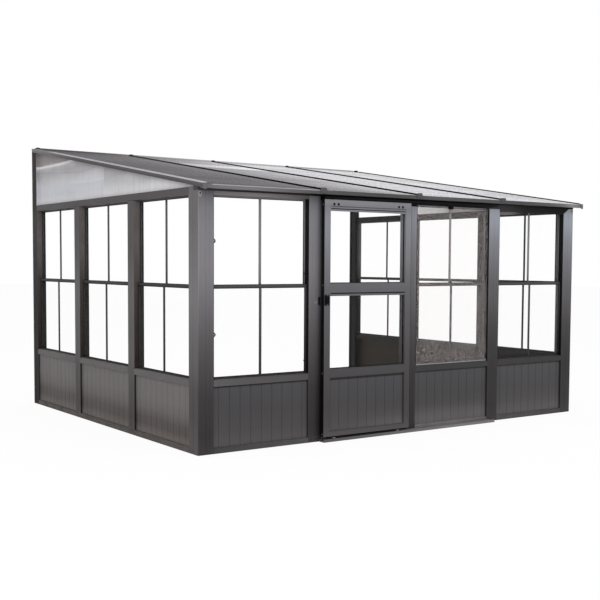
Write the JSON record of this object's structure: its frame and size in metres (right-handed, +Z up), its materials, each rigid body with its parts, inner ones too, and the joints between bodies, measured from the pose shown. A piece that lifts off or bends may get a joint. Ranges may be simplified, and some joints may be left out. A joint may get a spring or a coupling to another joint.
{
  "type": "lean-to greenhouse",
  "caption": "Lean-to glazed building with an open house side, boarded kick panels, film windows, a sliding front door and a single-pitch twin-wall roof on glazing bars.",
  "frame": {"origin": "centre of the bounding box at ground level", "axes": "+X to the right along the front wall, +Y towards the house wall, +Z up; the door slides along +X"},
  "size_m": [4.294, 3.622, 2.662],
  "materials": {
    "frame_paint": "satin",
    "dark_paint": "satin",
    "panel_paint": "satin",
    "film": "clear",
    "roof_plastic": "satin",
    "screen_mesh": "matte",
    "zinc_steel": "satin",
    "black_plastic": "matte"
  },
  "bodies": {
    "frame": {"front_base_rail": "frame_paint", "left_base_rail": "frame_paint", "right_base_rail": "frame_paint", "corner_posts": "frame_paint", "front_posts": "frame_paint", "left_side_posts": "frame_paint", "right_side_posts": "frame_paint", "rear_posts": "frame_paint", "front_sill_rails": "frame_paint", "left_sill_rails": "frame_paint", "right_sill_rails": "frame_paint", "front_top_rails": "frame_paint", "left_top_rails": "frame_paint", "right_top_rails": "frame_paint", "front_kick_panels": "panel_paint", "left_kick_panels": "panel_paint", "right_kick_panels": "panel_paint", "front_window_sashes": "dark_paint", "left_window_sashes": "dark_paint", "right_window_sashes": "dark_paint", "front_window_panes": "film", "left_window_panes": "film", "right_window_panes": "film", "insect_screen": "screen_mesh", "left_gable_sheet": "roof_plastic", "right_gable_sheet": "roof_plastic", "eave_beam": "dark_paint", "eave_fascia": "frame_paint", "house_ledger": "dark_paint", "side_roof_bars": "frame_paint", "roof_bars": "dark_paint", "roof_bar_caps": "dark_paint", "roof_end_caps": "frame_paint", "roof_sheets": "roof_plastic", "wall_flashing": "dark_paint", "header_plate": "dark_paint", "door_top_track": "dark_paint", "door_bottom_track": "dark_paint", "door_keeper": "black_plastic"},
    "door": {"door_frame": "frame_paint", "door_glass": "film", "door_kick_panel": "panel_paint", "door_handle": "black_plastic", "door_rollers": "zinc_steel", "door_guides": "black_plastic"}
  },
  "joints": [
    {"name": "door_slide", "type": "slide", "parent": "frame", "child": "door", "axis": [1, 0, 0], "range_m": [0, 0.925]}
  ]
}
